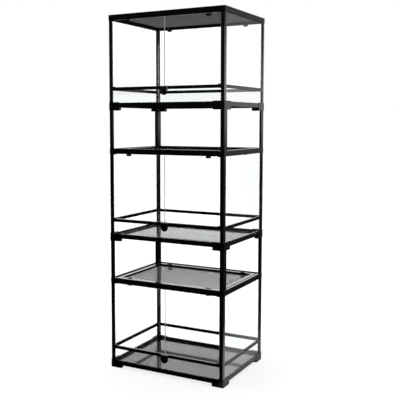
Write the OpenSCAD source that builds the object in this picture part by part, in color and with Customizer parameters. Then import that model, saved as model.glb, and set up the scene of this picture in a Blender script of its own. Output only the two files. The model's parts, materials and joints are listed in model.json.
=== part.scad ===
// Stack of three glass reptile terrariums on open spacer legs.
// Each unit has a base frame on corner feet, corner posts, glass walls, two front doors
// with a lock, and a screen lid held by four slide clips.
// The front is at low Y, the width runs along X, and the origin is at the bottom centre.

/* [Cabinet] */
// Outer width of the frames
frame_w = 610; // [450:1:900]
// Outer depth of the frames
frame_d = 457; // [350:1:600]
// Height of one unit, from its feet to the rim of its top frame
unit_h = 450; // [350:1:600]
// Height of the open stage between two units
spacer_h = 182; // [120:1:300]

/* [Corner feet] */
// How far the feet lift the base frame off the ground
foot_lift = 14; // [8:1:30]
// Length of a foot's arm along the front
foot_arm_front = 57; // [40:1:90]
// Length of a foot's arm along the side
foot_arm_side = 65; // [40:1:90]
// Thickness of the foot's outer wall, which stands proud of the frame
foot_wall = 1.6; // [1:0.1:3]
// How far the outer wall rises above the base rail
foot_rise = 3; // [1:0.5:10]
// Width of the foot's tread under the rails
foot_tread = 17; // [12:0.5:24]
// Thickness of the stiffening rib across the foot's inner corner
foot_rib = 3; // [2:0.5:5]

/* [Base frame] */
// Height of the base rail
base_h = 22; // [18:0.5:40]
// Width of the ledge that carries the floor pane
floor_ledge_w = 9; // [6:0.5:16]
// Thickness of that ledge
floor_ledge_t = 5; // [3:0.5:8]

/* [Glass] */
// Thickness of every pane
glass_t = 5; // [3:0.5:6]
// Play of a pane in its groove, on each side
groove_play = 0.2; // [0.1:0.05:0.4]
// Play of a pane at its cut edges
edge_play = 0.5; // [0.3:0.1:1]

/* [Rails and posts] */
// Outer wall of a rail or post, in front of the pane
rail_wall = 3; // [2:0.1:4]
// Lip of a rail or post, behind the pane
rail_lip = 2.6; // [1.5:0.1:4]
// Width of each flange of a corner post
post_w = 19; // [15:0.5:28]
// Radius of a post's outer edge
post_r = 4; // [2:0.5:6]
// Thickness of a post's lip at its free edge
post_lip = 0.5; // [0.4:0.1:2.6]
// Height of the middle rail's underside above the ground
sill_z = 94.5; // [70:0.5:140]
// Height of the middle rail
sill_h = 15; // [12:0.5:24]
// Depth to which a pane sits in the middle rail
sill_groove = 4; // [2:0.5:5]
// Width of the seam between two mitred rails, and between a rail and its ledge
mitre_seam = 0.1; // [0.05:0.05:0.3]

/* [Top frame] */
// Height of the top frame
top_h = 26; // [24:0.5:40]
// Width of the raised rim
rim_w = 10; // [9:0.5:16]
// Radius of the rim's outer edge
rim_r = 1.5; // [0.5:0.1:2.5]
// Depth of the lid's ledge below the rim
ledge_drop = 15; // [14:0.5:18]
// Width of the lid's ledge
ledge_w = 14; // [10:0.5:20]
// Thickness of the lid's ledge
ledge_t = 3; // [2:0.5:5]

/* [Doors] */
// Gap between a door and the post beside it
door_gap = 2; // [1.5:0.1:4]
// Gap between the two doors
seam_gap = 2; // [1:0.1:4]
// Thickness of a hinge shoe's walls and base
shoe_wall = 1.5; // [1.2:0.1:2.5]
// Height of a hinge shoe
shoe_h = 4.5; // [4:0.5:12]
// Length of a hinge shoe along the door
shoe_l = 12; // [11:0.5:30]
// Distance from the door's edge to the hinge pin
pivot_inset = 6; // [5:0.1:7]
// Radius of the hinge pins
pin_r = 2; // [1.2:0.1:2.5]
// Length of a hinge pin
pin_l = 4.5; // [3:0.5:5]
// Running clearance round a pin or shaft
pin_clear = 0.05; // [0.02:0.01:0.1]
// Gap between a hinge shoe and the rail that carries it
shoe_gap = 0.3; // [0.2:0.05:0.5]

/* [Lock] */
// Width of the lock's housing
lock_w = 38; // [32:1:50]
// Height of the lock's housing
lock_h = 42; // [34:1:56]
// How far the housing stands out of the middle rail
lock_d = 10; // [9:0.5:14]
// Radius of the housing's front edges
lock_r = 6; // [1:0.5:8]
// Radius of the half-moon catch
catch_r = 14; // [12.5:0.5:15]
// Thickness of the catch
catch_t = 2; // [1.5:0.1:3]
// Height that the raised catch reaches above the middle rail
catch_rise = 5; // [3:0.5:7]
// Radius of the turning knob
knob_r = 8; // [5:0.5:9]
// Thickness of the turning knob
knob_t = 2.5; // [1.5:0.1:5]
// Radius of the knob's shaft
shaft_r = 3; // [2:0.1:4]
// Free space round the catch and the knob
lock_clear = 0.3; // [0.2:0.05:0.5]

/* [Lid] */
// Gap between the rim and the lid
lid_gap = 4; // [4:0.1:8]
// Width of the lid's outer flange, which rests on the ledge
lid_flange_w = 9; // [7:0.5:14]
// Thickness of that flange
lid_flange_t = 5; // [3:0.5:7]
// Width of the lid's raised bar
lid_bar_w = 17; // [12:0.5:24]
// Height of the lid's raised bar
lid_bar_h = 11.5; // [8:0.5:14]
// Thickness of the screen
mesh_t = 1.2; // [0.8:0.1:2]
// Width of the screen's edge that is held under the bar
mesh_seat = 4; // [2:0.5:6]
// Spacing of the screen's strands
mesh_pitch = 25; // [20:1:50]
// Width of the screen's strands
mesh_bar = 2; // [1:0.1:4]
// Gap between the screen's two layers of strands
strand_gap = 0.1; // [0.05:0.05:0.3]

/* [Clips] */
// Distance from the side of the frame to a clip's middle
clip_x = 92; // [70:1:150]
// Width of a clip's bolt
clip_w = 18; // [12:1:30]
// Length of the bolt, across the lid's bar
bolt_l = 9.4; // [8:0.1:12]
// Length of the bolt's slope, which leads it under the ledge
bolt_lead = 1.5; // [0.5:0.1:3]
// How far the bolt hangs below the top frame
clip_tail = 8; // [4:0.5:16]
// Clearance from a released bolt to the ledge's edge
bolt_clear = 0.6; // [0.4:0.1:1.5]
// Travel of a clip from released to locked
clip_travel = 4; // [2:0.1:4.5]
// Width of the stem that joins the bolt to the thumb tab
stem_w = 8; // [5:0.5:12]
// Thickness of the stem along its travel
stem_d = 3; // [2:0.1:4]
// Clearance between a clip and what it slides along
clip_clear = 0.3; // [0.1:0.05:0.4]
// Width of the thumb tab
tab_w = 26; // [18:1:40]
// Depth of the thumb tab
tab_d = 9; // [6:0.5:10]
// Thickness of the thumb tab
tab_t = 1.4; // [1:0.1:2]
// Width of the tab's thumb rib
grip_w = 12; // [8:1:20]
// Thickness of the thumb rib
grip_d = 2.5; // [1.5:0.1:4]
// How far the thumb rib stays below the rim
grip_drop = 0.4; // [0.2:0.1:1]

/* [Spacer legs] */
// Width of a leg's front flange
leg_front_w = 20; // [16:0.5:40]
// Width of a leg's side flange
leg_side_w = 30; // [16:0.5:50]
// Thickness of a leg's flanges
leg_t = 4; // [3:0.1:6]
// Thickness of the bead at each flange's free edge
leg_bead = 6; // [4.5:0.1:8]

/* [Hidden] */
tier_names = ["lower", "middle", "upper"];
tiers = [0, 1, 2];
part_names = [
    "base_frame", "corner_feet", "floor_glass", "corner_posts", "sill_rails", "top_frame",
    "wall_glass", "left_door_glass", "left_door_hinges", "right_door_glass",
    "right_door_hinges", "lock_body", "lock_knob", "lid_frame", "lid_mesh",
    "clip_front_left", "clip_front_right", "clip_rear_left", "clip_rear_right"
];

arc_steps = 6;
round_fn = 48;
groove_web = 1;
cut_over = 1;
lock_back = 1;
key_slot_w = 1.8;
frame_black = [0.06, 0.06, 0.065];
glass_clear = [0.82, 0.9, 0.9, 0.3];
glass_dark = [0.3, 0.32, 0.34, 0.6];
mesh_grey = [0.35, 0.35, 0.36];

// Where things lie across a rail, from the outer face inward
groove_w = glass_t + 2 * groove_play;
rail_d = rail_wall + groove_w + rail_lip;
pane_u = rail_wall + groove_play;
pane_end = rail_d + edge_play;
ledge_end = rim_w + ledge_w;
lid_u = rim_w + lid_gap;
lid_bar_end = lid_flange_w + lid_bar_w;

// Heights within one unit
base_top = foot_lift + base_h;
floor_z = foot_lift + floor_ledge_t;
base_groove_z = foot_lift + 2 * floor_ledge_t;
sill_top = sill_z + sill_h;
top_z = unit_h - top_h;
ledge_z = unit_h - ledge_drop;
top_groove_z = ledge_z - ledge_t - groove_web;
tier_pitch = unit_h + spacer_h;

// Doors and hinges
door_edge = post_w + door_gap;
door_w = (frame_w - 2 * door_edge - seam_gap) / 2;
door_z = sill_top + shoe_gap + shoe_wall;
door_top = top_z - shoe_gap - shoe_wall;
door_h = door_top - door_z;
shoe_d = glass_t + 2 * shoe_wall;
pivot_x = door_edge + pivot_inset;
pivot_u = shoe_d / 2;
socket_l = pin_l + shoe_gap;

// Lock
catch_z = sill_top + catch_rise - catch_r;
catch_u = -lock_back - lock_clear - catch_t;
slot_t = catch_t + 2 * lock_clear;
lock_round_z = sill_top - lock_h + lock_w / 2;
key_slot_l = 1.2 * knob_r;

// Whole object in Y: the knob reaches furthest forward and the feet furthest back
front_proud = lock_d + lock_clear + knob_t;
front_y = (front_proud - foot_wall - frame_d) / 2;

// Clips, released, and their slots in the lid's bar
bolt_u = ledge_end + bolt_clear;
stem_u = bolt_u + bolt_l - stem_d;
clip_slot_u = stem_u - clip_travel - clip_clear;
clip_slot_w = stem_w + 2 * clip_clear;
clip_slot_l = stem_d + clip_travel + 2 * clip_clear;

// Screen
mesh_u = lid_u + lid_bar_end - mesh_seat;
mesh_w = frame_w - 2 * mesh_u;
mesh_d = frame_d - 2 * mesh_u;

// Points of an arc round [cx, cy], with both ends
function arc(cx, cy, r, from, to) =
    [for (i = [0:arc_steps]) let (a = from + (to - from) * i / arc_steps)
        [cx + r * cos(a), cy + r * sin(a)]];

// L outline in the corner at [0, 0], with a round outer edge
function angle_outline(wide, deep, thick, r) = concat(
    arc(r, r, r, 180, 270),
    [[wide, 0], [wide, thick], [thick, thick], [thick, deep], [0, deep]]);

// Moves to a unit's front left corner at its ground level
module at_tier(t) {
    translate([-frame_w / 2, front_y, t * tier_pitch]) children();
}

// Repeats for all four sides, with X along the side and Y inward
module on_side(i) {
    translate([[0, 0], [frame_w, 0], [frame_w, frame_d], [0, frame_d]][i]) rotate(90 * i)
        children();
}
function side_length(i) = i % 2 == 0 ? frame_w : frame_d;

// Bar along X from the given outline in Y and Z
module bar(from, to, outline) {
    translate([from, 0, 0]) rotate([90, 0, 90]) linear_extrude(to - from) polygon(outline);
}

// Bar round one side of a rectangle, mitred at both ends
module mitred_bar(length, inset, reach, outline) {
    low = inset + mitre_seam / sqrt(2);
    high = length - low;
    intersection() {
        translate([0, inset, 0]) bar(inset, length - inset, outline);
        translate([0, inset, -unit_h]) linear_extrude(3 * unit_h)
            polygon([[low, 0], [high, 0], [high - reach, reach], [low + reach, reach]]);
    }
}

// Outline of a flat strip, from one distance inward to another and between two heights
function strip(from, to, low, high) = [[from, low], [to, low], [to, high], [from, high]];

// Everything at the front or rear, mirrored for the rear
module front_or_rear(rear) {
    if (rear) translate([0, frame_d, 0]) mirror([0, 1, 0]) children();
    else children();
}

// Four copies, mirrored into the corners of the frame
module in_corners() {
    for (right = [false, true]) for (rear = [false, true])
        front_or_rear(rear)
            if (right) translate([frame_w, 0, 0]) mirror([1, 0, 0]) children();
            else children();
}

// ---- Fixed frame ----

module base_frame() {
    reach = rail_d + floor_ledge_w;
    rail = [
        [0, foot_lift], [rail_d, foot_lift], [rail_d, base_top],
        [rail_wall + groove_w, base_top], [rail_wall + groove_w, base_groove_z],
        [rail_wall, base_groove_z], [rail_wall, base_top], [0, base_top]
    ];
    ledge = strip(rail_d + mitre_seam, reach, foot_lift, floor_z);
    color(frame_black) for (i = [0:3]) on_side(i) {
        mitred_bar(side_length(i), 0, reach, rail);
        mitred_bar(side_length(i), 0, reach, ledge);
    }
}

// Outer wall and tread of one foot, with a rib across its inner corner
module foot() {
    translate([-foot_wall, -foot_wall, 0]) linear_extrude(base_top + foot_rise)
        polygon(angle_outline(foot_arm_front + foot_wall, foot_arm_side + foot_wall,
                              foot_wall, post_r));
    linear_extrude(foot_lift)
        polygon([[0, 0], [foot_arm_front, 0], [foot_arm_front, foot_tread],
                 [foot_tread + foot_rib, foot_tread], [foot_tread, foot_tread + foot_rib],
                 [foot_tread, foot_arm_side], [0, foot_arm_side]]);
}

module corner_feet() {
    color(frame_black) in_corners() foot();
}

// Each flange's lip is thinnest at its free edge, and the inner corner is filled
module corner_posts() {
    groove_l = post_w - rail_d;
    lip_end = rail_wall + groove_w + post_lip;
    color(frame_black) in_corners()
        translate([0, 0, base_top]) linear_extrude(top_z - base_top) difference() {
            polygon(concat(arc(post_r, post_r, post_r, 180, 270),
                [[post_w, 0], [post_w, lip_end], [lip_end, post_w], [0, post_w]]));
            translate([rail_d, rail_wall]) square([groove_l + cut_over, groove_w]);
            translate([rail_wall, rail_d]) square([groove_w, groove_l + cut_over]);
        }
}

// The front rail has no upper groove, because the doors close above it
module sill_rails() {
    lower_groove = [[rail_d, sill_z], [rail_wall + groove_w, sill_z],
                    [rail_wall + groove_w, sill_z + sill_groove],
                    [rail_wall, sill_z + sill_groove], [rail_wall, sill_z], [0, sill_z]];
    upper_groove = [[0, sill_top], [rail_wall, sill_top], [rail_wall, sill_top - sill_groove],
                    [rail_wall + groove_w, sill_top - sill_groove],
                    [rail_wall + groove_w, sill_top], [rail_d, sill_top]];
    flat_top = [[0, sill_top], [rail_d, sill_top]];
    color(frame_black) {
        difference() {
            bar(post_w, frame_w - post_w, concat(lower_groove, flat_top));
            for (x = [pivot_x, frame_w - pivot_x]) translate([x, pivot_u, sill_top - socket_l])
                cylinder(r = pin_r + pin_clear, h = socket_l + cut_over, $fn = round_fn);
        }
        for (i = [1:3]) on_side(i)
            bar(post_w, side_length(i) - post_w, concat(lower_groove, upper_groove));
    }
}

// The rim's inner face leans outward, and the front rail has no groove above the doors
module top_frame() {
    rim = concat([[rail_d, top_z], [rail_d, ledge_z], [rim_w, unit_h]],
                 arc(rim_r, unit_h - rim_r, rim_r, 90, 180));
    ledge = strip(rail_d + mitre_seam, ledge_end, ledge_z - ledge_t, ledge_z);
    groove = [[0, top_z], [rail_wall, top_z], [rail_wall, top_groove_z],
              [rail_wall + groove_w, top_groove_z], [rail_wall + groove_w, top_z]];
    color(frame_black) {
        difference() {
            mitred_bar(frame_w, 0, ledge_end, concat([[0, top_z]], rim));
            for (x = [pivot_x, frame_w - pivot_x]) translate([x, pivot_u, top_z - cut_over])
                cylinder(r = pin_r + pin_clear, h = pin_l + cut_over + shoe_gap,
                         $fn = round_fn);
        }
        for (i = [1:3]) on_side(i)
            mitred_bar(side_length(i), 0, ledge_end, concat(groove, rim));
        for (i = [0:3]) on_side(i) mitred_bar(side_length(i), 0, ledge_end, ledge);
    }
}

// ---- Glass ----

module floor_glass() {
    color(glass_dark) translate([pane_end, pane_end, floor_z])
        cube([frame_w - 2 * pane_end, frame_d - 2 * pane_end, glass_t]);
}

// Pane along one side, between two heights
module pane(i, from_z, to_z) {
    on_side(i) translate([pane_end, pane_u, from_z])
        cube([side_length(i) - 2 * pane_end, glass_t, to_z - from_z]);
}

module wall_glass() {
    color(glass_clear) {
        for (i = [0:3]) pane(i, base_groove_z, sill_z + sill_groove - edge_play);
        for (i = [1:3]) pane(i, sill_top - sill_groove, top_groove_z - edge_play);
    }
}

// ---- Doors ----

module door_glass() {
    color(glass_clear) translate([door_edge, shoe_wall, door_z]) cube([door_w, glass_t, door_h]);
}

// Shoe under the pane's corner, with its pin pointing down
module hinge_shoe() {
    difference() {
        translate([door_edge, 0, 0]) cube([shoe_l, shoe_d, shoe_h]);
        translate([door_edge - shoe_wall, shoe_wall, shoe_wall])
            cube([shoe_l + 2 * shoe_wall, glass_t, shoe_h]);
    }
    translate([pivot_x, pivot_u, -pin_l])
        cylinder(r = pin_r, h = pin_l + shoe_wall / 2, $fn = round_fn);
}

module door_hinges() {
    color(frame_black) {
        translate([0, 0, sill_top + shoe_gap]) hinge_shoe();
        translate([0, 0, door_top + shoe_wall]) mirror([0, 0, 1]) hinge_shoe();
    }
}

module right_side() {
    translate([frame_w, 0, 0]) mirror([1, 0, 0]) children();
}

// ---- Lock ----

// Right half of the housing's plan, from the rail's face outward
lock_half_plan = concat([[0, 0]], [[lock_w / 2, 0]],
    arc(lock_w / 2 - lock_r, -lock_d + lock_r, lock_r, 0, -90), [[0, -lock_d]]);

module lock_body() {
    color(frame_black) translate([frame_w / 2, 0, 0]) difference() {
        union() {
            translate([0, 0, lock_round_z]) linear_extrude(sill_top - lock_round_z) {
                polygon(lock_half_plan);
                mirror([1, 0]) polygon(lock_half_plan);
            }
            translate([0, 0, lock_round_z]) rotate([-90, 0, 0])
                rotate_extrude(angle = 180, $fn = round_fn) polygon(lock_half_plan);
        }
        translate([0, catch_u - lock_clear, catch_z]) rotate([-90, 0, 0])
            cylinder(r = catch_r + lock_clear, h = slot_t, $fn = round_fn);
        translate([0, -lock_d - cut_over, catch_z]) rotate([-90, 0, 0])
            cylinder(r = shaft_r + pin_clear, h = lock_d + catch_u + cut_over,
                     $fn = round_fn);
    }
}

// Knob, shaft and half-moon catch in one piece, with the catch hanging down
module lock_knob() {
    knob_y = -lock_d - lock_clear - knob_t;
    color(frame_black) translate([frame_w / 2, 0, catch_z]) rotate([-90, 0, 0]) {
        translate([0, 0, knob_y]) difference() {
            cylinder(r = knob_r, h = knob_t, $fn = round_fn);
            translate([-key_slot_l / 2, -key_slot_w / 2, -cut_over])
                cube([key_slot_l, key_slot_w, knob_t / 2 + cut_over]);
        }
        translate([0, 0, knob_y + knob_t / 2])
            cylinder(r = shaft_r, h = catch_u + catch_t - knob_y - knob_t / 2, $fn = round_fn);
        translate([0, 0, catch_u]) rotate_extrude(angle = 180, $fn = round_fn)
            square([catch_r, catch_t]);
    }
}

// ---- Lid ----

module lid_frame() {
    flange = strip(0, lid_flange_w - mitre_seam, 0, lid_flange_t);
    raised_bar = [
        [lid_flange_w, 0], [lid_bar_end - mesh_seat, 0], [lid_bar_end - mesh_seat, mesh_t],
        [lid_bar_end, mesh_t], [lid_bar_end, lid_bar_h], [lid_flange_w, lid_bar_h]
    ];
    color(frame_black) for (i = [0:3]) on_side(i) translate([0, 0, ledge_z]) {
        mitred_bar(side_length(i), lid_u, lid_bar_end, flange);
        difference() {
            mitred_bar(side_length(i), lid_u, lid_bar_end, raised_bar);
            if (i % 2 == 0) for (x = [clip_x, frame_w - clip_x])
                translate([x - clip_slot_w / 2, clip_slot_u, -cut_over])
                    cube([clip_slot_w, clip_slot_l, lid_bar_h + 2 * cut_over]);
        }
    }
}

// Screen of two layers of crossing strands, with their ends held under the lid's bar
module lid_mesh() {
    strand_t = (mesh_t - strand_gap) / 2;
    span_w = mesh_w - 2 * mesh_seat - mesh_bar;
    span_d = mesh_d - 2 * mesh_seat - mesh_bar;
    nx = round(span_w / mesh_pitch);
    ny = round(span_d / mesh_pitch);
    color(mesh_grey) translate([mesh_u, mesh_u, ledge_z]) {
        for (i = [0:nx]) translate([mesh_seat + i * span_w / nx, 0, mesh_t - strand_t])
            cube([mesh_bar, mesh_d, strand_t]);
        for (j = [0:ny]) translate([0, mesh_seat + j * span_d / ny, 0])
            cube([mesh_w, mesh_bar, strand_t]);
    }
}

// ---- Clips ----

// One clip in the lid's front bar, released: the bolt is drawn in clear of the ledge
module lid_clip() {
    bolt_in = bolt_u + bolt_l;
    bolt_z = top_z - clip_tail;
    bolt_top = ledge_z - ledge_t - clip_clear;
    tab_z = ledge_z + lid_bar_h + clip_clear;
    stem_mid = stem_u + stem_d / 2;
    grip_z = unit_h - grip_drop;
    color(frame_black) translate([clip_x, 0, 0]) {
        bar(-clip_w / 2, clip_w / 2, [
            [bolt_u, bolt_z], [bolt_in, bolt_z], [bolt_in, bolt_top],
            [bolt_u + bolt_lead, bolt_top], [bolt_u, bolt_top - bolt_lead]]);
        bar(-stem_w / 2, stem_w / 2, strip(stem_u, bolt_in, bolt_top - bolt_lead, tab_z + tab_t));
        bar(-tab_w / 2, tab_w / 2,
            strip(stem_mid - tab_d / 2, stem_mid + tab_d / 2, tab_z, tab_z + tab_t));
        bar(-grip_w / 2, grip_w / 2,
            strip(stem_mid - grip_d / 2, stem_mid + grip_d / 2, tab_z, grip_z));
    }
}

// ---- Spacer legs ----

module spacer_legs() {
    color(frame_black) in_corners()
        translate([0, 0, unit_h]) linear_extrude(spacer_h) {
            polygon(angle_outline(leg_front_w, leg_side_w, leg_t, post_r));
            translate([leg_front_w - leg_t, 0]) square([leg_t, leg_bead]);
            translate([0, leg_side_w - leg_t]) square([leg_bead, leg_t]);
        }
}

for (t = tiers) at_tier(t) {
    tier = tier_names[t];
    base_frame();
    corner_feet();
    floor_glass();
    corner_posts();
    sill_rails();
    top_frame();
    wall_glass();
    door_glass();
    door_hinges();
    right_side() door_glass();
    right_side() door_hinges();
    lock_body();
    lock_knob();
    lid_frame();
    lid_mesh();
    lid_clip();
    right_side() lid_clip();
    front_or_rear(true) lid_clip();
    front_or_rear(true) right_side() lid_clip();
}
at_tier(0) spacer_legs();  // spacer_legs_lower
at_tier(1) spacer_legs();  // spacer_legs_upper
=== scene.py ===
import json
import math
import bpy
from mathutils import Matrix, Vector


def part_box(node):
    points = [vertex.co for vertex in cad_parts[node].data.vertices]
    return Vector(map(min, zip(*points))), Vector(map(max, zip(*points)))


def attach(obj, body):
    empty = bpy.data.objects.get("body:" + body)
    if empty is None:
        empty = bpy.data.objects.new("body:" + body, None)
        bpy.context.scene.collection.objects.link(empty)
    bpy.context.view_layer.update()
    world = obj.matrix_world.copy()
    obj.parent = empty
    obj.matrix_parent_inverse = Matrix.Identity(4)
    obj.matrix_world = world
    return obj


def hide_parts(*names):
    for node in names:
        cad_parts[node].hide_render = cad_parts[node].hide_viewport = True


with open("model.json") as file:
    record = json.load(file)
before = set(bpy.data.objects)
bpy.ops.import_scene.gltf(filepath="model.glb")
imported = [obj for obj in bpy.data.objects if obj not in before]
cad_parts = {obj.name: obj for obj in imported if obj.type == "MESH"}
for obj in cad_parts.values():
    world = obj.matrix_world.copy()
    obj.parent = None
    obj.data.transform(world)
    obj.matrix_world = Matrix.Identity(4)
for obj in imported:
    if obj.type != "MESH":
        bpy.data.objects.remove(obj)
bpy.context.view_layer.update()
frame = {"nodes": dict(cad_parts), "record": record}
nodes = frame["nodes"]
tiers = ["lower", "middle", "upper"]
print("stage: frame loaded,", len(nodes), "nodes")


# All sizes are in metres, unless a note says otherwise
modelling = {
    "merge": 0.000002,  # between points that become one
    "flat": 1,  # degrees between faces that become one
    "corner": 40,  # degrees from which the edge of a moulding is bevelled
    "smooth": 50,  # degrees up to which shading runs over an edge
}


def deselectAll():
    if bpy.context.mode != "OBJECT":
        bpy.ops.object.mode_set(mode="OBJECT")
    bpy.ops.object.select_all(action="DESELECT")


def makeActive(piece):
    deselectAll()
    piece.select_set(True)
    bpy.context.view_layer.objects.active = piece


def editWhole(piece):  # edit mode, with everything selected
    makeActive(piece)
    bpy.ops.object.mode_set(mode="EDIT")
    bpy.ops.mesh.select_all(action="SELECT")


def selectVertices(piece, test):  # leaves the piece in edit mode
    makeActive(piece)
    bpy.ops.object.mode_set(mode="EDIT")
    bpy.ops.mesh.select_mode(type="VERT")
    bpy.ops.mesh.select_all(action="DESELECT")
    bpy.ops.object.mode_set(mode="OBJECT")
    for vertex in piece.data.vertices:
        vertex.select = test(vertex.co)
    bpy.ops.object.mode_set(mode="EDIT")


def applyModifier(piece, kind, **settings):
    makeActive(piece)
    modifier = piece.modifiers.new(kind.title(), kind)
    for name, value in settings.items():
        setattr(modifier, name, value)
    bpy.ops.object.modifier_apply(modifier=modifier.name)


def addBox(name, low, high):  # starting block, with its place in its mesh
    deselectAll()
    low = Vector(low)
    high = Vector(high)
    bpy.ops.mesh.primitive_cube_add(size=1, location=(low + high) / 2)
    piece = bpy.context.active_object
    piece.name = piece.data.name = name
    piece.scale = high - low
    bpy.ops.object.transform_apply(location=True, rotation=True, scale=True)
    return piece


def tidyFaces(piece):  # merged, and facing outwards
    editWhole(piece)
    bpy.ops.mesh.remove_doubles(threshold=modelling["merge"])
    bpy.ops.mesh.normals_make_consistent(inside=False)
    bpy.ops.object.mode_set(mode="OBJECT")


def joinPieces(name, parts):
    deselectAll()
    for part in parts:
        part.select_set(True)
    bpy.context.view_layer.objects.active = parts[0]
    bpy.ops.object.join()
    parts[0].name = parts[0].data.name = name
    return parts[0]


def smoothByAngle(piece):
    makeActive(piece)
    bpy.ops.object.shade_smooth_by_angle(angle=math.radians(modelling["smooth"]))


def dress(piece, material):
    piece.data.materials.clear()
    piece.data.materials.append(material)


def linearColour(code):  # sRGB hex to linear values
    parts = [int(code[i:i + 2], 16) / 255 for i in (1, 3, 5)]
    return [*(c / 12.92 if c <= 0.04045 else ((c + 0.055) / 1.055) ** 2.4 for c in parts), 1]


def addNode(tree, kind, settings=None):
    # A setting is a property, an input's value, or a socket to link to that input; a node
    # stands for its first output
    node = tree.nodes.new(kind)
    for key, value in (settings or {}).items():
        if isinstance(value, bpy.types.Node):
            value = value.outputs[0]
        if isinstance(value, bpy.types.NodeSocket):
            tree.links.new(value, node.inputs[key])
        elif isinstance(key, int) or key in node.inputs:
            node.inputs[key].default_value = value
        else:
            setattr(node, key, value)
    return node


def startMaterial(name):
    material = bpy.data.materials.new(name)
    material.use_nodes = True
    tree = material.node_tree
    tree.nodes.clear()
    place = addNode(tree, "ShaderNodeTexCoord").outputs["Object"]
    return material, tree, place


def endMaterial(tree, surface):
    addNode(tree, "ShaderNodeOutputMaterial", {"Surface": surface})


cameraView = {
    "place": (1.6143, -3.0202, 1.2076),
    "turn": 28.62,  # degrees round the vertical
    "dip": 5.38,  # degrees below level
    "lens": 62.87,
    "shift": (0.0472, -0.03),
    "reach": 100,  # metres that it sees
}
camera = bpy.data.objects.new("camera", bpy.data.cameras.new("camera"))
bpy.context.scene.collection.objects.link(camera)
camera.location = cameraView["place"]
camera.rotation_euler = (math.radians(90 - cameraView["dip"]), 0, math.radians(cameraView["turn"]))
camera.data.lens = cameraView["lens"]
camera.data.shift_x, camera.data.shift_y = cameraView["shift"]
camera.data.clip_end = cameraView["reach"]
bpy.context.scene.camera = camera
print("stage: camera set")


gradual = {"interpolation_type": "SMOOTHSTEP"}  # a level that changes from one place to another
studio = {
    "white": "#ffffff",
    "ambient": 0.27,  # level of the room's light on dull surfaces
    "throughGlass": (1.45, 1.14),  # makes up for what the panes take away; less in the grey patch
}
backdrop = {  # x is to the right, and z the height over the horizon
    # along x, from the left half of the room to its right half
    "right": {**gradual, "From Min": 0.0, "From Max": 0.35},
    # along z, a bright strip low on the right, then the wall above it
    "rightLevel": {**gradual, "From Min": 0.06, "From Max": 0.145, "To Min": 0.8, "To Max": 0.26},
    # along z, overlit on the left, and more so higher up
    "leftLevel": {**gradual, "From Min": 0.15, "From Max": 0.33, "To Min": 1.6, "To Max": 2.3},
    "horizonDip": 0.05,  # how much lower the white starts on the right
    "aboveHorizon": {**gradual, "From Min": 0.0, "From Max": 0.04},
    "brightSide": (0.48, 0.88, 0),  # direction of the bright half, behind and to the right
    "brightness": {**gradual, "From Min": -0.25, "From Max": 0.35},
    "darkSide": 0.02,  # how bright the other half is in reflections
    "greyPatch": (-0.479, 0.878, 0),  # direction of a faint grey patch, seen only through glass
    "patchWidth": {**gradual, "From Min": 0.974, "From Max": 0.988},
    "patchFoot": {**gradual, "From Min": 0.008, "From Max": 0.02},
    "patchTop": {**gradual, "From Min": 0.05, "From Max": 0.043},
}


def shownRoom(tree, mirrored, through):
    # Straight from the camera a ray meets plain white, through glass the level for that, and
    # off a glossy face the mirrored level; light that falls on a dull surface isn't direct
    ray = addNode(tree, "ShaderNodeLightPath").outputs
    passed = addNode(tree, "ShaderNodeMath", {"operation": "MULTIPLY", 1: through,
                                              0: ray["Is Transmission Ray"]})
    seen = addNode(tree, "ShaderNodeMath", {"operation": "MAXIMUM", 0: passed,
                                            1: ray["Is Camera Ray"]})
    turned = addNode(tree, "ShaderNodeMath", {"operation": "MINIMUM", 1: 1.0,
                                              0: ray["Glossy Depth"]})
    view = addNode(tree, "ShaderNodeMix", {"data_type": "FLOAT", 0: turned, 2: seen, 3: mirrored})
    clear = addNode(tree, "ShaderNodeMath", {"operation": "ADD", "use_clamp": True,
                                             0: ray["Is Glossy Ray"], 1: seen})
    direct = addNode(tree, "ShaderNodeMath", {"operation": "SUBTRACT", "use_clamp": True,
                                              0: clear, 1: ray["Diffuse Depth"]})
    return view, direct, turned


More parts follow.
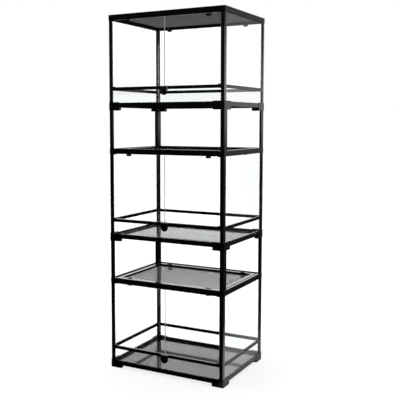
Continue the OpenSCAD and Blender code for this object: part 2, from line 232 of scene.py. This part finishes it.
def makeWorld():
    world = bpy.data.worlds.new("studio")
    bpy.context.scene.world = world
    world.use_nodes = True
    tree = world.node_tree
    tree.nodes.clear()
    place = addNode(tree, "ShaderNodeTexCoord").outputs["Generated"]
    across, _, height = addNode(tree, "ShaderNodeSeparateXYZ", {0: place}).outputs

    # What glossy faces mirror: the backdrop's left and right halves, and a dark room before it
    right = addNode(tree, "ShaderNodeMapRange", {"Value": across, **backdrop["right"]})
    rightLevel = addNode(tree, "ShaderNodeMapRange", {"Value": height, **backdrop["rightLevel"]})
    leftLevel = addNode(tree, "ShaderNodeMapRange", {"Value": height, **backdrop["leftLevel"]})
    level = addNode(tree, "ShaderNodeMix", {"data_type": "FLOAT", 0: right, 2: leftLevel,
                                            3: rightLevel})
    lifted = addNode(tree, "ShaderNodeMath", {"operation": "MULTIPLY_ADD", 0: right,
                                              1: backdrop["horizonDip"], 2: height})
    above = addNode(tree, "ShaderNodeMapRange", {"Value": lifted, **backdrop["aboveHorizon"]})
    white = addNode(tree, "ShaderNodeMath", {"operation": "MULTIPLY", 0: level, 1: above})
    behind = addNode(tree, "ShaderNodeVectorMath", {"operation": "DOT_PRODUCT", 0: place,
                                                    1: backdrop["brightSide"]}).outputs["Value"]
    bright = addNode(tree, "ShaderNodeMapRange", {"Value": behind, **backdrop["brightness"]})
    shown = addNode(tree, "ShaderNodeMath", {"operation": "MULTIPLY", 0: bright, 1: above})
    mirrored = addNode(tree, "ShaderNodeMix", {"data_type": "FLOAT", 0: shown,
                                               2: backdrop["darkSide"], 3: white})

    # What shows through glass: white, with a faint grey patch
    ahead = addNode(tree, "ShaderNodeVectorMath", {"operation": "DOT_PRODUCT", 0: place,
                                                   1: backdrop["greyPatch"]}).outputs["Value"]
    width = addNode(tree, "ShaderNodeMapRange", {"Value": ahead, **backdrop["patchWidth"]})
    foot = addNode(tree, "ShaderNodeMapRange", {"Value": height, **backdrop["patchFoot"]})
    top = addNode(tree, "ShaderNodeMapRange", {"Value": height, **backdrop["patchTop"]})
    band = addNode(tree, "ShaderNodeMath", {"operation": "MULTIPLY", 0: foot, 1: top})
    patch = addNode(tree, "ShaderNodeMath", {"operation": "MULTIPLY", 0: width, 1: band})
    plain, grey = studio["throughGlass"]
    through = addNode(tree, "ShaderNodeMix", {"data_type": "FLOAT", 0: patch, 2: plain, 3: grey})

    view, direct, _ = shownRoom(tree, mirrored, through)
    strength = addNode(tree, "ShaderNodeMix", {"data_type": "FLOAT", 0: direct,
                                               2: studio["ambient"], 3: view})
    shade = addNode(tree, "ShaderNodeBackground", {"Color": linearColour(studio["white"]),
                                                   "Strength": strength})
    addNode(tree, "ShaderNodeOutputWorld", {"Surface": shade})


board = {  # x is to the right, and reach the way from the middle
    "size": 60.0,
    "drop": 0.0004,  # below the feet
    "colour": "#8c8c8c",
    "grain": 300,  # waves to a metre
    # along reach, beside the object and further out
    "glow": {**gradual, "From Min": 0.45, "From Max": 0.85, "To Min": 0.8, "To Max": 1.0},
    # in reflections only, a painted glow along x and along reach: a painted pool of light near the
    # object on the right, fading outwards, then a painted brightening far off
    "paintedPoolSide": {**gradual, "From Min": 0.24, "From Max": 0.34},
    "paintedPoolLevel": {**gradual, "From Min": 0.62, "From Max": 1.05, "To Min": 0.5, "To Max": 0.05},
    "paintedFarSide": {**gradual, "From Min": 2.0, "From Max": 9.0},
    "paintedFarLevel": {**gradual, "From Min": 12, "From Max": 28, "To Min": 0.0, "To Max": 0.22},
}


def makeFloor():
    deselectAll()
    bpy.ops.mesh.primitive_plane_add(size=board["size"], location=(0, 0, -board["drop"]))
    floor = bpy.context.active_object
    floor.name = "studioFloor"
    material, tree, place = startMaterial("whitePaintedBoard")
    reach = addNode(tree, "ShaderNodeVectorMath", {"operation": "LENGTH",
                                                   0: place}).outputs["Value"]
    across = addNode(tree, "ShaderNodeSeparateXYZ", {0: place}).outputs[0]

    # What glossy faces mirror: painted light, a pool near the object on the right and a brightening
    # far off
    paintedPoolSide = addNode(tree, "ShaderNodeMapRange", {"Value": across, **board["paintedPoolSide"]})
    paintedPoolLevel = addNode(tree, "ShaderNodeMapRange", {"Value": reach, **board["paintedPoolLevel"]})
    lit = addNode(tree, "ShaderNodeMath", {"operation": "MULTIPLY", 0: paintedPoolSide, 1: paintedPoolLevel})
    paintedFarSide = addNode(tree, "ShaderNodeMapRange", {"Value": across, **board["paintedFarSide"]})
    paintedFarLevel = addNode(tree, "ShaderNodeMapRange", {"Value": reach, **board["paintedFarLevel"]})
    paintedFarGlow = addNode(tree, "ShaderNodeMath", {"operation": "MULTIPLY", 0: paintedFarSide, 1: paintedFarLevel})
    mirrored = addNode(tree, "ShaderNodeMath", {"operation": "MAXIMUM", 0: lit, 1: paintedFarGlow})

    # What the camera sees: the paint with its shadows, and a glow that brings it up to white
    view, _, turned = shownRoom(tree, mirrored, studio["throughGlass"][0])
    fade = addNode(tree, "ShaderNodeMapRange", {"Value": reach, **board["glow"]})
    glow = addNode(tree, "ShaderNodeMath", {"operation": "MULTIPLY", 0: view, 1: fade})
    grain = addNode(tree, "ShaderNodeTexNoise", {"Vector": place, "Scale": board["grain"],
                                                 "Detail": 3})
    bump = addNode(tree, "ShaderNodeBump", {"Height": grain, "Strength": 0.05, "Distance": 0.0002})
    paint = addNode(tree, "ShaderNodeBsdfDiffuse", {"Color": linearColour(board["colour"]),
                                                    "Roughness": 0.8, "Normal": bump})
    white = linearColour(studio["white"])
    light = addNode(tree, "ShaderNodeEmission", {"Color": white, "Strength": glow})
    plain = addNode(tree, "ShaderNodeAddShader", {0: paint, 1: light})
    # painted reflection: off glossy faces the board shows this painted glow in place of its lit
    # paint
    paintedReflectionGlow = addNode(tree, "ShaderNodeEmission", {"Color": white, "Strength": mirrored})
    surface = addNode(tree, "ShaderNodeMixShader", {0: turned, 1: plain, 2: paintedReflectionGlow})
    endMaterial(tree, surface)
    dress(floor, material)


softboxes = {  # name: place, point it faces, width, height, watts
    "overhead": ((-0.3, 0.2, 4.0), (0, 0, 0.8), 3.0, 3.0, 185),
    "rightFront": ((3.66, -1.94, 1.61), (-0.29, 0.21, 1.61), 2.0, 1.07, 13.0),
}


def makeSoftboxes():
    for name, (place, target, width, height, watts) in softboxes.items():
        lamp = bpy.data.lights.new(name, "AREA")
        lamp.shape = "RECTANGLE"
        lamp.size = width
        lamp.size_y = height
        lamp.energy = watts
        box = bpy.data.objects.new(name, lamp)
        bpy.context.scene.collection.objects.link(box)
        box.location = place
        aim = Vector(target) - Vector(place)
        box.rotation_euler = aim.to_track_quat("-Z", "Y").to_euler()
        box.visible_camera = False


makeWorld()
makeFloor()
makeSoftboxes()
bpy.context.scene.view_settings.view_transform = "Standard"
print("stage: studio lit")


def wornSkin(tree, patch, body, worn, roughness):  # colour and dullness drift patch by patch
    colour = addNode(tree, "ShaderNodeMix", {"data_type": "RGBA", 0: patch, 6: linearColour(body),
                                             7: linearColour(worn)})
    dulled = addNode(tree, "ShaderNodeMapRange", {"Value": patch, "From Min": 0.3, "From Max": 0.7,
                                                  "To Min": roughness[0], "To Max": roughness[1]})
    return colour.outputs[2], dulled


absSkin = {
    "waves": 0.007,  # metres from one slow wave of the surface to the next
    "patches": 0.06,
    "streaks": (60, 700, 90),  # handling marks, stretched and turned
    "streakTurn": (0.3, 0.1, 0.5),
    "streakDulling": 0.07,
}


def glossAbs(name, body, worn, roughness, lacquer=0.0):
    # Injection-moulded ABS off a polished tool: clear reflections that wander a little, and
    # a haze of fine handling marks; a lacquer on top, with a raised IOR, mirrors the room
    # more strongly
    material, tree, place = startMaterial(name)
    waves = addNode(tree, "ShaderNodeTexNoise", {"Vector": place, "Scale": 1 / absSkin["waves"],
                                                 "Detail": 2})
    patch = addNode(tree, "ShaderNodeTexNoise", {"Vector": place, "Scale": 1 / absSkin["patches"],
                                                 "Detail": 3})
    stretched = addNode(tree, "ShaderNodeMapping", {"Vector": place, "Scale": absSkin["streaks"],
                                                    "Rotation": absSkin["streakTurn"]})
    streaks = addNode(tree, "ShaderNodeTexNoise", {"Vector": stretched, "Scale": 1.0, "Detail": 5,
                                                   "Roughness": 0.7})
    marks = addNode(tree, "ShaderNodeMapRange", {"Value": streaks, "From Min": 0.56,
                                                 "From Max": 0.72, "To Min": 0.0, "To Max": 1.0})
    colour, base = wornSkin(tree, patch, body, worn, roughness)
    dulled = addNode(tree, "ShaderNodeMath", {"operation": "MULTIPLY_ADD", 0: marks,
                                              1: absSkin["streakDulling"], 2: base})
    bump = addNode(tree, "ShaderNodeBump", {"Height": waves, "Strength": 0.35, "Distance": 0.00004})
    shader = addNode(tree, "ShaderNodeBsdfPrincipled",
                     {"Base Color": colour, "Roughness": dulled, "Normal": bump, "IOR": 1.54,
                      "Coat Weight": lacquer, "Coat IOR": 1.8, "Coat Roughness": 0.06})
    endMaterial(tree, shader)
    return material


sparkedSkin = {"grain": 0.0006, "patches": 0.02}  # metres, a coarser grain than real to show


def grainedPlastic(name, body, worn, roughness):
    # Polypropylene from a spark-eroded tool: an even fine grain that spreads highlights
    material, tree, place = startMaterial(name)
    grain = addNode(tree, "ShaderNodeTexVoronoi", {"Vector": place,
                                                   "Scale": 1 / sparkedSkin["grain"]})
    patch = addNode(tree, "ShaderNodeTexNoise", {"Vector": place, "Detail": 3,
                                                 "Scale": 1 / sparkedSkin["patches"]})
    colour, dulled = wornSkin(tree, patch, body, worn, roughness)
    bump = addNode(tree, "ShaderNodeBump", {"Height": grain, "Strength": 0.4, "Distance": 0.00005})
    shader = addNode(tree, "ShaderNodeBsdfPrincipled", {"Base Color": colour, "Roughness": dulled,
                                                        "Normal": bump, "IOR": 1.49})
    endMaterial(tree, shader)
    return material


powderSkin = {"peel": 0.0015, "patches": 0.05}  # metres


def powderCoat(name, body, worn, roughness):
    # Gloss powder coat baked on aluminium bar: a pebbled orange peel of about 1.5 mm
    material, tree, place = startMaterial(name)
    peel = addNode(tree, "ShaderNodeTexNoise", {"Vector": place, "Scale": 1 / powderSkin["peel"],
                                                "Detail": 2})
    patch = addNode(tree, "ShaderNodeTexNoise", {"Vector": place, "Detail": 3,
                                                 "Scale": 1 / powderSkin["patches"]})
    colour, dulled = wornSkin(tree, patch, body, worn, roughness)
    bump = addNode(tree, "ShaderNodeBump", {"Height": peel, "Strength": 0.3, "Distance": 0.00004})
    shader = addNode(tree, "ShaderNodeBsdfPrincipled", {"Base Color": colour, "Roughness": dulled,
                                                        "Normal": bump, "IOR": 1.52})
    endMaterial(tree, shader)
    return material


rubberSkin = {"bloom": 0.012, "pores": 0.0008}  # metres, larger pores than real to show


def softRubber(name, body, worn, roughness):
    # Extruded EPDM cord or cured silicone: dull, faintly bloomed, with no clear reflection
    material, tree, place = startMaterial(name)
    bloom = addNode(tree, "ShaderNodeTexNoise", {"Vector": place, "Scale": 1 / rubberSkin["bloom"],
                                                 "Detail": 4})
    pores = addNode(tree, "ShaderNodeTexNoise", {"Vector": place, "Scale": 1 / rubberSkin["pores"],
                                                 "Detail": 2})
    colour, dulled = wornSkin(tree, bloom, body, worn, roughness)
    bump = addNode(tree, "ShaderNodeBump", {"Height": pores, "Strength": 0.3, "Distance": 0.00006})
    shader = addNode(tree, "ShaderNodeBsdfPrincipled", {"Base Color": colour, "Roughness": dulled,
                                                        "Normal": bump, "IOR": 1.48})
    endMaterial(tree, shader)
    return material


clearPane = {  # sizes in metres
    "tint": "#fbfdfc",
    "shadow": "#f6f8f7",
    "waterMarks": 0.05,
    "draw": 0.18,  # from one faint wave of the glass to the next
}


def floatGlass(name):
    # Clear float glass: it bends and mirrors cleanly, waves faintly from its drawing, and has
    # a few dried water marks that only roughen it slightly; its shadow is nearly white
    material, tree, place = startMaterial(name)
    haze = addNode(tree, "ShaderNodeTexNoise", {"Vector": place, "Detail": 4,
                                                "Scale": 1 / clearPane["waterMarks"]})
    film = addNode(tree, "ShaderNodeMapRange", {"Value": haze, "From Min": 0.55, "From Max": 0.8,
                                                "To Min": 0.0, "To Max": 0.02})
    draw = addNode(tree, "ShaderNodeTexNoise", {"Vector": place, "Scale": 1 / clearPane["draw"],
                                                "Detail": 1})
    bump = addNode(tree, "ShaderNodeBump", {"Height": draw, "Strength": 0.1, "Distance": 0.0002})
    glass = addNode(tree, "ShaderNodeBsdfPrincipled",
                    {"Base Color": linearColour(clearPane["tint"]), "Roughness": film,
                     "Normal": bump, "IOR": 1.5, "Transmission Weight": 1.0})
    shadow = addNode(tree, "ShaderNodeBsdfTransparent",
                     {"Color": linearColour(clearPane["shadow"])})
    ray = addNode(tree, "ShaderNodeLightPath").outputs
    surface = addNode(tree, "ShaderNodeMixShader", {0: ray["Is Shadow Ray"], 1: glass, 2: shadow})
    endMaterial(tree, surface)
    return material


blackPane = {  # sizes in metres; the dust lies in larger flecks than real, so that it shows
    "paint": "#060606",
    "dusty": "#0d0d0d",
    "dust": 0.003,
    "haze": 0.08,
}


def paintedGlass(name):
    # Glass painted black on its underside: a sharp mirror over a dark ground, with the soft
    # haze of dust and dried water under it; both IORs are lower than glass has, because the
    # dust takes some of the shine
    material, tree, place = startMaterial(name)
    dust = addNode(tree, "ShaderNodeTexNoise", {"Vector": place, "Scale": 1 / blackPane["dust"],
                                                "Detail": 6, "Roughness": 0.7})
    haze = addNode(tree, "ShaderNodeTexNoise", {"Vector": place, "Scale": 1 / blackPane["haze"],
                                                "Detail": 3})
    colour = addNode(tree, "ShaderNodeMix", {"data_type": "RGBA", 0: dust,
                                             6: linearColour(blackPane["paint"]),
                                             7: linearColour(blackPane["dusty"])}).outputs[2]
    film = addNode(tree, "ShaderNodeMapRange", {"Value": haze, "From Min": 0.35, "From Max": 0.75,
                                                "To Min": 0.29, "To Max": 0.36})
    shader = addNode(tree, "ShaderNodeBsdfPrincipled",
                     {"Base Color": colour, "Roughness": film, "IOR": 1.15, "Coat Weight": 0.9,
                      "Coat IOR": 1.25, "Coat Roughness": 0.02})
    endMaterial(tree, shader)
    return material


cutEdge = {
    "dark": "#c4ccc9",
    "pale": "#e0e5e3",
    "grit": 0.0004,  # metres, coarser than real, so that it shows
}


def groundEdge(name):
    # The ground and seamed edge of a pane: a dull grey-green matt line that scatters light
    material, tree, place = startMaterial(name)
    grit = addNode(tree, "ShaderNodeTexNoise", {"Vector": place, "Scale": 1 / cutEdge["grit"],
                                                "Detail": 3})
    colour = addNode(tree, "ShaderNodeMix", {"data_type": "RGBA", 0: grit,
                                             6: linearColour(cutEdge["dark"]),
                                             7: linearColour(cutEdge["pale"])}).outputs[2]
    bump = addNode(tree, "ShaderNodeBump", {"Height": grit, "Strength": 0.4, "Distance": 0.00005})
    shader = addNode(tree, "ShaderNodeBsdfPrincipled", {"Base Color": colour, "Roughness": 0.5,
                                                        "Normal": bump, "IOR": 1.5})
    endMaterial(tree, shader)
    return material


meshCoat = {  # sizes in metres; the flecks are coarser than real, so that they show
    "light": "#747474",
    "dark": "#565656",
    "flecks": 0.003,
    "patches": 0.09,
}


def coatedMesh(name):
    # Steel mesh with a dull grey coat: each strand is lit along its top, flecked where the
    # coat is thicker, and darker in patches
    material, tree, place = startMaterial(name)
    flecks = addNode(tree, "ShaderNodeTexVoronoi", {"Vector": place,
                                                    "Scale": 1 / meshCoat["flecks"]})
    patch = addNode(tree, "ShaderNodeTexNoise", {"Vector": place, "Scale": 1 / meshCoat["patches"],
                                                 "Detail": 3})
    both = addNode(tree, "ShaderNodeMath", {"operation": "MULTIPLY", 0: flecks, 1: patch})
    colour = addNode(tree, "ShaderNodeMix", {"data_type": "RGBA", 0: both,
                                             6: linearColour(meshCoat["light"]),
                                             7: linearColour(meshCoat["dark"])}).outputs[2]
    shader = addNode(tree, "ShaderNodeBsdfPrincipled", {"Base Color": colour, "Roughness": 0.55,
                                                        "IOR": 1.5})
    endMaterial(tree, shader)
    return material


materials = {  # name, colour, colour where worn, range of roughness, and lacquer if any
    "frame_plastic": glossAbs("glossAbs", "#08080a", "#0d0d0f", (0.10, 0.17)),
    "post_plastic": glossAbs("lacqueredAbs", "#08080a", "#0d0d0f", (0.10, 0.17), 1.0),
    "lock_plastic": glossAbs("lacqueredAbsLock", "#070708", "#0b0b0c", (0.08, 0.13), 1.0),
    "clip_plastic": grainedPlastic("grainedPolypropylene", "#101011", "#171718", (0.34, 0.46)),
    "clear_glass": floatGlass("floatGlass"),
    "dark_glass": paintedGlass("backPaintedGlass"),
    "lid_metal": powderCoat("powderCoatedAluminium", "#08080a", "#0d0d0e", (0.12, 0.2)),
    "screen_metal": coatedMesh("coatedSteelMesh"),
    "bead_rubber": softRubber("epdmRubber", "#0c0c0d", "#161617", (0.45, 0.6)),
    "silicone": softRubber("blackSilicone", "#08080a", "#0e0e10", (0.28, 0.4)),
}
glassEdge = groundEdge("groundGlassEdge")
record = frame["record"]
slotOf = {row["node"]: row["material_slot"] for row in record["subparts"]}
for name, node in nodes.items():
    dress(node, materials[slotOf[name]])
print("stage: materials made")


edgeWidth = {  # bevel in metres for each kind of moulding
    "base_frame": 0.0006, "corner_feet": 0.0005, "corner_posts": 0.0005, "sill_rails": 0.0006,
    "top_frame": 0.0006, "lock_body": 0.0008, "lock_knob": 0.0004, "lid_frame": 0.0005,
    "clip_front_left": 0.0005, "clip_front_right": 0.0005, "clip_rear_left": 0.0005,
    "clip_rear_right": 0.0005, "left_door_hinges": 0.0003, "right_door_hinges": 0.0003,
    "spacer_legs": 0.0006,
}
bodyOf = {node: body for body, members in record["behaviour"]["bodies"].items()
          for node in members}


def soften(nodeName, width, smooth=True, shape=None):  # merged copy of a node, corners rounded
    piece = nodes[nodeName].copy()
    piece.data = nodes[nodeName].data.copy()
    for key in list(piece.keys()):
        if key.startswith("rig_"):  # what the node is, and its copy isn't
            del piece[key]
    bpy.context.scene.collection.objects.link(piece)
    piece.parent = None
    piece.name = piece.data.name = "soft_" + nodeName
    editWhole(piece)
    bpy.ops.mesh.remove_doubles(threshold=modelling["merge"])
    bpy.ops.mesh.dissolve_limited(angle_limit=math.radians(modelling["flat"]))
    bpy.ops.object.mode_set(mode="OBJECT")
    if shape:
        shape(piece)
    applyModifier(piece, "BEVEL", width=width, segments=2, limit_method="ANGLE",
                  angle_limit=math.radians(modelling["corner"]), use_clamp_overlap=True)
    if smooth:
        smoothByAngle(piece)
        applyModifier(piece, "WEIGHTED_NORMAL", keep_sharp=True)  # flat faces stay flat
    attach(piece, bodyOf[nodeName])
    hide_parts(nodeName)
    return piece


clipHook = {
    "drop": 0.0145,  # height of the part that is made wider
    "wider": 1.25,
    "tip": 0.001,  # height of the part that is moved down
    "longer": 0.003,
}


def enlargeHook(piece):  # the bolt's drop, seen below the frame
    bottom = min(v.co.z for v in piece.data.vertices)
    selectVertices(piece, lambda p: p.z < bottom + clipHook["drop"])
    middle = sum((v.co for v in piece.data.vertices), Vector()) / len(piece.data.vertices)
    bpy.ops.transform.resize(value=(clipHook["wider"], 1, 1), center_override=middle)
    bpy.ops.object.mode_set(mode="OBJECT")
    selectVertices(piece, lambda p: p.z < bottom + clipHook["tip"])
    bpy.ops.transform.translate(value=(0, 0, -clipHook["longer"]))
    bpy.ops.object.mode_set(mode="OBJECT")


shoe = {
    "shallower": 0.0015,  # how much less of the pane each hinge shoe grips
    "rim": 0.0004,  # how near to the shoe's inner end its points lie
}


def shortenShoes(piece):  # a door's two shoes, one at its foot and one at its top
    heights = [v.co.z for v in piece.data.vertices]
    middle = (min(heights) + max(heights)) / 2
    for side in (-1, 1):
        inner = min(abs(z - middle) for z in heights if (z - middle) * side > 0)
        selectVertices(piece, lambda p: abs((p.z - middle) * side - inner) < shoe["rim"])
        bpy.ops.transform.translate(value=(0, 0, side * shoe["shallower"]))
        bpy.ops.object.mode_set(mode="OBJECT")


post = {
    "crown": 0.002,  # how far the inner face's middle is drawn out, before it is rounded off
    "round": 0.0062,  # how far to each side the bulge is rounded
    "steps": 6,
    "faceArea": 0.004,  # square metres, less than an inner face has
    "facing": 0.99,  # how squarely an inner face looks towards the middle
    "near": 0.0001,
}


def crownPosts(piece):  # each post's inner face, flat in the source, is gently rounded
    for towardsX, towardsY in ((-1, -1), (-1, 1), (1, -1), (1, 1)):
        facing = Vector((-towardsX, -towardsY, 0)).normalized()
        faces = [f for f in piece.data.polygons
                 if f.area > post["faceArea"] and f.normal.dot(facing) > post["facing"]
                 and f.center.x * towardsX > 0 and f.center.y * towardsY > 0]
        chosen = {tuple(piece.data.vertices[i].co) for f in faces for i in f.vertices}
        centre = faces[0].center.copy()
        across = Vector((facing.y, -facing.x, 0))

        def onMiddleLine(point):
            return max(abs((point - centre).dot(way)) for way in (across, facing)) < post["near"]

        selectVertices(piece, lambda p: tuple(p) in chosen)
        bpy.ops.mesh.select_mode(type="FACE")
        bpy.ops.mesh.bisect(plane_co=centre, plane_no=across)
        bpy.ops.object.mode_set(mode="OBJECT")
        selectVertices(piece, onMiddleLine)
        bpy.ops.mesh.select_mode(type="EDGE")
        bpy.ops.transform.translate(value=facing * post["crown"])
        bpy.ops.mesh.bevel(offset=post["round"], segments=post["steps"], affect="EDGES")
        bpy.ops.object.mode_set(mode="OBJECT")


pane = {
    "seam": 0.0004,  # bevel along the cut edges
    "faceArea": 0.005,  # square metres, less than a clear face has
}


def finishPane(piece):  # the big faces stay clear, and the cut edges are ground
    piece.data.materials.append(glassEdge)
    for face in piece.data.polygons:
        face.material_index = 0 if face.area > pane["faceArea"] else 1


reshape = {"clip": enlargeHook, "hinges": shortenShoes, "posts": crownPosts}
for nodeName in sorted(nodes):
    kind = nodeName.rsplit("_", 1)[0]
    if kind in edgeWidth:
        shape = next((change for word, change in reshape.items() if word in kind.split("_")), None)
        piece = soften(nodeName, edgeWidth[kind], shape=shape)
        if kind == "corner_posts":
            dress(piece, materials["post_plastic"])
    elif slotOf[nodeName] == "clear_glass":
        finishPane(soften(nodeName, pane["seam"], smooth=False))
print("stage: edges softened")


screen = {
    "pitch": 0.0014,  # strand spacing, a little coarser than real to keep the faces few
    "strand": 0.0002,  # strand thickness
    "sunk": 0.1,  # how far each layer reaches past the middle, in half strands
}


def makeScreen(tier):  # two layers of strands that cross
    low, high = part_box("lid_mesh_" + tier)
    middle = (low.z + high.z) / 2
    half = screen["strand"] / 2
    layers = []
    for axis in (0, 1):
        across = 1 - axis
        start = low.copy()
        end = high.copy()
        start.z = middle - half * (2 - screen["sunk"] if axis else screen["sunk"])
        end.z = start.z + screen["strand"]
        width = high[across] - low[across]
        count = int(width / screen["pitch"])
        start[across] = low[across] + (width - (count - 1) * screen["pitch"]) / 2 - half
        end[across] = start[across] + screen["strand"]
        strand = addBox("strand", start, end)
        offset = [0, 0, 0]
        offset[across] = screen["pitch"]
        applyModifier(strand, "ARRAY", use_relative_offset=False, use_constant_offset=True,
                      constant_offset_displace=offset, count=count)
        layers.append(strand)
    piece = joinPieces("screen_" + tier, layers)
    dress(piece, materials["screen_metal"])
    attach(piece, "lid_" + tier)
    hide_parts("lid_mesh_" + tier)


for tier in tiers:
    makeScreen(tier)
print("stage: screens laid")


spline = {
    "barEnd": 0.040,  # inside the frame's outer face, where the lid's bar ends
    "width": 0.0025,
    "height": 0.0018,
    "round": 0.0008,
}
fillet = {
    "railEnd": 0.011,  # inside the frame's outer face, where the base rail ends
    "size": 0.0035,
    "near": 0.0005,
}


def ringSheet(name, low, high, z, width):  # flat frame just inside a rectangle
    deselectAll()
    middle = (low + high) / 2
    bpy.ops.mesh.primitive_plane_add(size=1, location=(middle.x, middle.y, z))
    piece = bpy.context.active_object
    piece.name = piece.data.name = name
    piece.scale = (high.x - low.x, high.y - low.y, 1)
    bpy.ops.object.transform_apply(location=True, rotation=True, scale=True)
    editWhole(piece)
    bpy.ops.mesh.inset(thickness=width)
    bpy.ops.mesh.delete(type="FACE")
    bpy.ops.object.mode_set(mode="OBJECT")
    return piece


def makeSplineBead(tier):  # rubber cord that presses the screen into its bar
    low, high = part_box("base_frame_" + tier)
    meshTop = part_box("lid_mesh_" + tier)[1].z
    inset = Vector((spline["barEnd"], spline["barEnd"], 0))
    piece = ringSheet("splineBead_" + tier, low + inset, high - inset, meshTop, spline["width"])
    applyModifier(piece, "SOLIDIFY", thickness=spline["height"], offset=1)
    tidyFaces(piece)
    applyModifier(piece, "BEVEL", width=spline["round"], segments=3, limit_method="ANGLE")
    smoothByAngle(piece)
    dress(piece, materials["bead_rubber"])
    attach(piece, "lid_" + tier)


def makeSiliconeBead(tier):  # fillet that seals the floor pane to the base rail
    low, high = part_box("base_frame_" + tier)
    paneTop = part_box("floor_glass_" + tier)[1].z
    inset = Vector((fillet["railEnd"], fillet["railEnd"], 0))
    low = low + inset
    high = high - inset
    piece = ringSheet("siliconeBead_" + tier, low, high, paneTop, fillet["size"])
    middle = (low + high) / 2
    reach = (high - low) / 2

    def onRail(point):
        return (abs(abs(point.x - middle.x) - reach.x) < fillet["near"]
                or abs(abs(point.y - middle.y) - reach.y) < fillet["near"])

    selectVertices(piece, onRail)
    bpy.ops.mesh.select_mode(type="EDGE")
    bpy.ops.mesh.extrude_region_move(TRANSFORM_OT_translate={"value": (0, 0, fillet["size"])})
    bpy.ops.object.mode_set(mode="OBJECT")
    selectVertices(piece, lambda p: p.z > paneTop + fillet["size"] / 2 or not onRail(p))
    bpy.ops.mesh.select_mode(type="EDGE")
    bpy.ops.mesh.bridge_edge_loops()
    bpy.ops.object.mode_set(mode="OBJECT")
    tidyFaces(piece)
    dress(piece, materials["silicone"])
    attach(piece, "cabinet")


for tier in tiers:
    makeSplineBead(tier)
    makeSiliconeBead(tier)
print("stage: beads laid")


web = {
    "wall": 0.004,  # inside the leg's outer faces, where its walls end
    "reach": 0.0185,  # inside the same faces, where the web would end uncut
    "cut": 0.0096,  # how much of the inner corner is cut away
    "steps": 6,
    "curve": 0.28,  # the cut's profile, nearly flat
    "gap": 0.0002,  # left at the leg's top and foot
    "near": 0.0005,
    "edge": 0.0005,
}


def makeLegWebs(stack):  # crowned 45-degree face that closes the inside of each leg's angle
    low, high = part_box("spacer_legs_" + stack)
    frameLow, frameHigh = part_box("top_frame_" + stack)
    parts = []
    for x, towardsX in ((frameLow.x, 1), (frameHigh.x, -1)):
        for y, towardsY in ((frameLow.y, 1), (frameHigh.y, -1)):
            corner = Vector((x, y, 0))
            inwards = Vector((towardsX, towardsY, 0))
            near = corner + inwards * web["wall"]
            far = corner + inwards * web["reach"]
            start = Vector((min(near.x, far.x), min(near.y, far.y), low.z + web["gap"]))
            end = Vector((max(near.x, far.x), max(near.y, far.y), high.z - web["gap"]))
            part = addBox("web", start, end)
            selectVertices(part, lambda p: (p - far).to_2d().length < web["near"])
            bpy.ops.mesh.bevel(offset=web["cut"], segments=web["steps"], profile=web["curve"],
                               affect="EDGES")
            bpy.ops.object.mode_set(mode="OBJECT")
            parts.append(part)
    piece = joinPieces("legWebs_" + stack, parts)
    applyModifier(piece, "BEVEL", width=web["edge"], segments=2, limit_method="ANGLE")
    smoothByAngle(piece)
    applyModifier(piece, "WEIGHTED_NORMAL", keep_sharp=True)
    dress(piece, materials["frame_plastic"])
    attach(piece, "cabinet")


for stack in ("lower", "upper"):
    makeLegWebs(stack)
print("stage: legs closed")


knob = {
    "radius": 0.008,
    "axisDrop": 0.009,  # from the top of the middle rail down to the knob's axis
    "ribs": 24,
    "ribWidth": 0.0011,
    "ribStart": 0.0003,  # behind the knob's face
    "ribEnd": 0.0022,
    "proud": 0.0004,
    "sunk": 0.0006,
    "edge": 0.0002,
}


def makeKnurl(tier):  # ribs round the knob's rim, for the fingers
    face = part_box("lock_knob_" + tier)[0].y
    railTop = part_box("sill_rails_" + tier)[1].z
    middle = Vector((0, 0, railTop - knob["axisDrop"]))
    half = knob["ribWidth"] / 2
    rim = middle.z + knob["radius"]
    rib = addBox("rib", (-half, face + knob["ribStart"], rim - knob["sunk"]),
                 (half, face + knob["ribEnd"], rim + knob["proud"]))
    applyModifier(rib, "BEVEL", width=knob["edge"], segments=2, limit_method="ANGLE")
    ribs = [rib]
    for i in range(1, knob["ribs"]):
        twin = rib.copy()
        twin.data = rib.data.copy()
        bpy.context.scene.collection.objects.link(twin)
        editWhole(twin)
        bpy.ops.transform.rotate(value=2 * math.pi * i / knob["ribs"], orient_axis="Y",
                                 center_override=middle)
        bpy.ops.object.mode_set(mode="OBJECT")
        ribs.append(twin)
    piece = joinPieces("knurl_" + tier, ribs)
    smoothByAngle(piece)
    dress(piece, materials["lock_plastic"])
    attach(piece, "lock_" + tier)


for tier in tiers:
    makeKnurl(tier)
print("stage: knobs ribbed")
